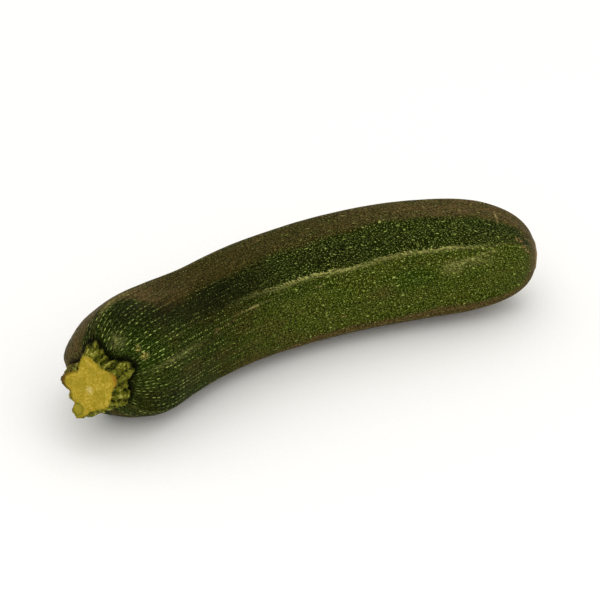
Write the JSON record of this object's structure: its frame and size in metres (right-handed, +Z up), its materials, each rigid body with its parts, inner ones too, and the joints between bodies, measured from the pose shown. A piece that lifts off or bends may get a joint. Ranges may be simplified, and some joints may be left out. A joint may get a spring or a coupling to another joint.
{
  "type": "courgette",
  "caption": "Whole fresh dark green courgette, gently bent and ridged, speckled pale, with a short cut stub of its lobed stem, lying on its side.",
  "frame": {"origin": "on the surface it lies on, under the middle of the whole courgette's bounding box", "axes": "+X from the cut stem towards the blossom end; +Z up; the fruit bends in the horizontal plane, its hollow side towards -Y"},
  "size_m": [0.2002, 0.0612, 0.0438],
  "materials": {
    "skin": "satin dark green rind, finely speckled pale green",
    "stem": "dull yellow cut face, green warty sides"
  },
  "bodies": {
    "root": {"fruit": "skin", "stem": "stem"}
  },
  "joints": []
}
